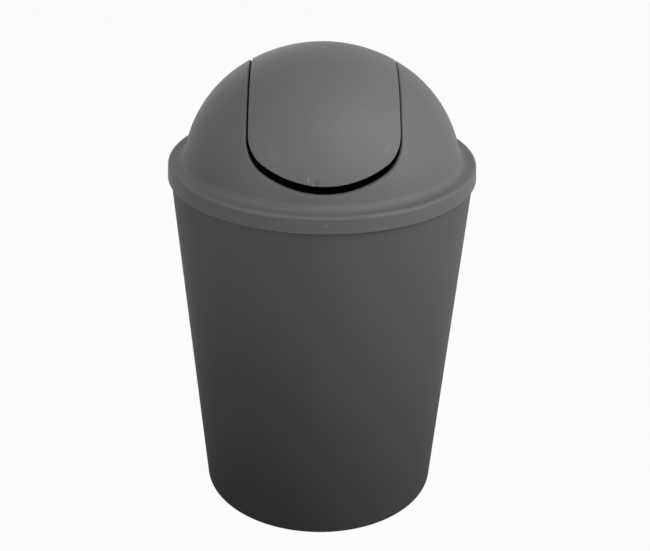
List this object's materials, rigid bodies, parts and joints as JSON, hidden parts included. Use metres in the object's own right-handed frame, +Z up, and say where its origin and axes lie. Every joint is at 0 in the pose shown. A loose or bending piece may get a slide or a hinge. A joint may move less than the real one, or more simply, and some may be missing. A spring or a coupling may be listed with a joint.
{
  "type": "swing-lid bin",
  "caption": "Small round waste bin: tapered bucket, lift-off domed lid, and a flush flap that swings both ways over the crown.",
  "frame": {"origin": "centre of the foot ring, on the surface the bin stands on", "axes": "+Z up; the flap's two swinging sides face -Y (front) and +Y (back); X runs along the flap's pivot"},
  "size_m": [0.2099, 0.21, 0.33],
  "materials": {
    "bucket_plastic": "anthracite grey moulded polypropylene, fine matt grain",
    "lid_plastic": "anthracite grey moulded polypropylene, fine matt grain",
    "flap_plastic": "anthracite grey moulded polypropylene, satin"
  },
  "bodies": {
    "bin": {"bucket": "bucket_plastic"},
    "lid": {"lid": "lid_plastic"},
    "flap": {"flap": "flap_plastic"}
  },
  "joints": [
    {"name": "lid_lift", "type": "slide", "parent": "bin", "child": "lid", "axis": [0, 0, 1], "range_m": [0, 0.15]},
    {"name": "flap_swing", "type": "hinge", "parent": "lid", "child": "flap", "pos_m": [0, 0, 0.30877], "axis": [1, 0, 0], "range_deg": [-80, 80]}
  ]
}
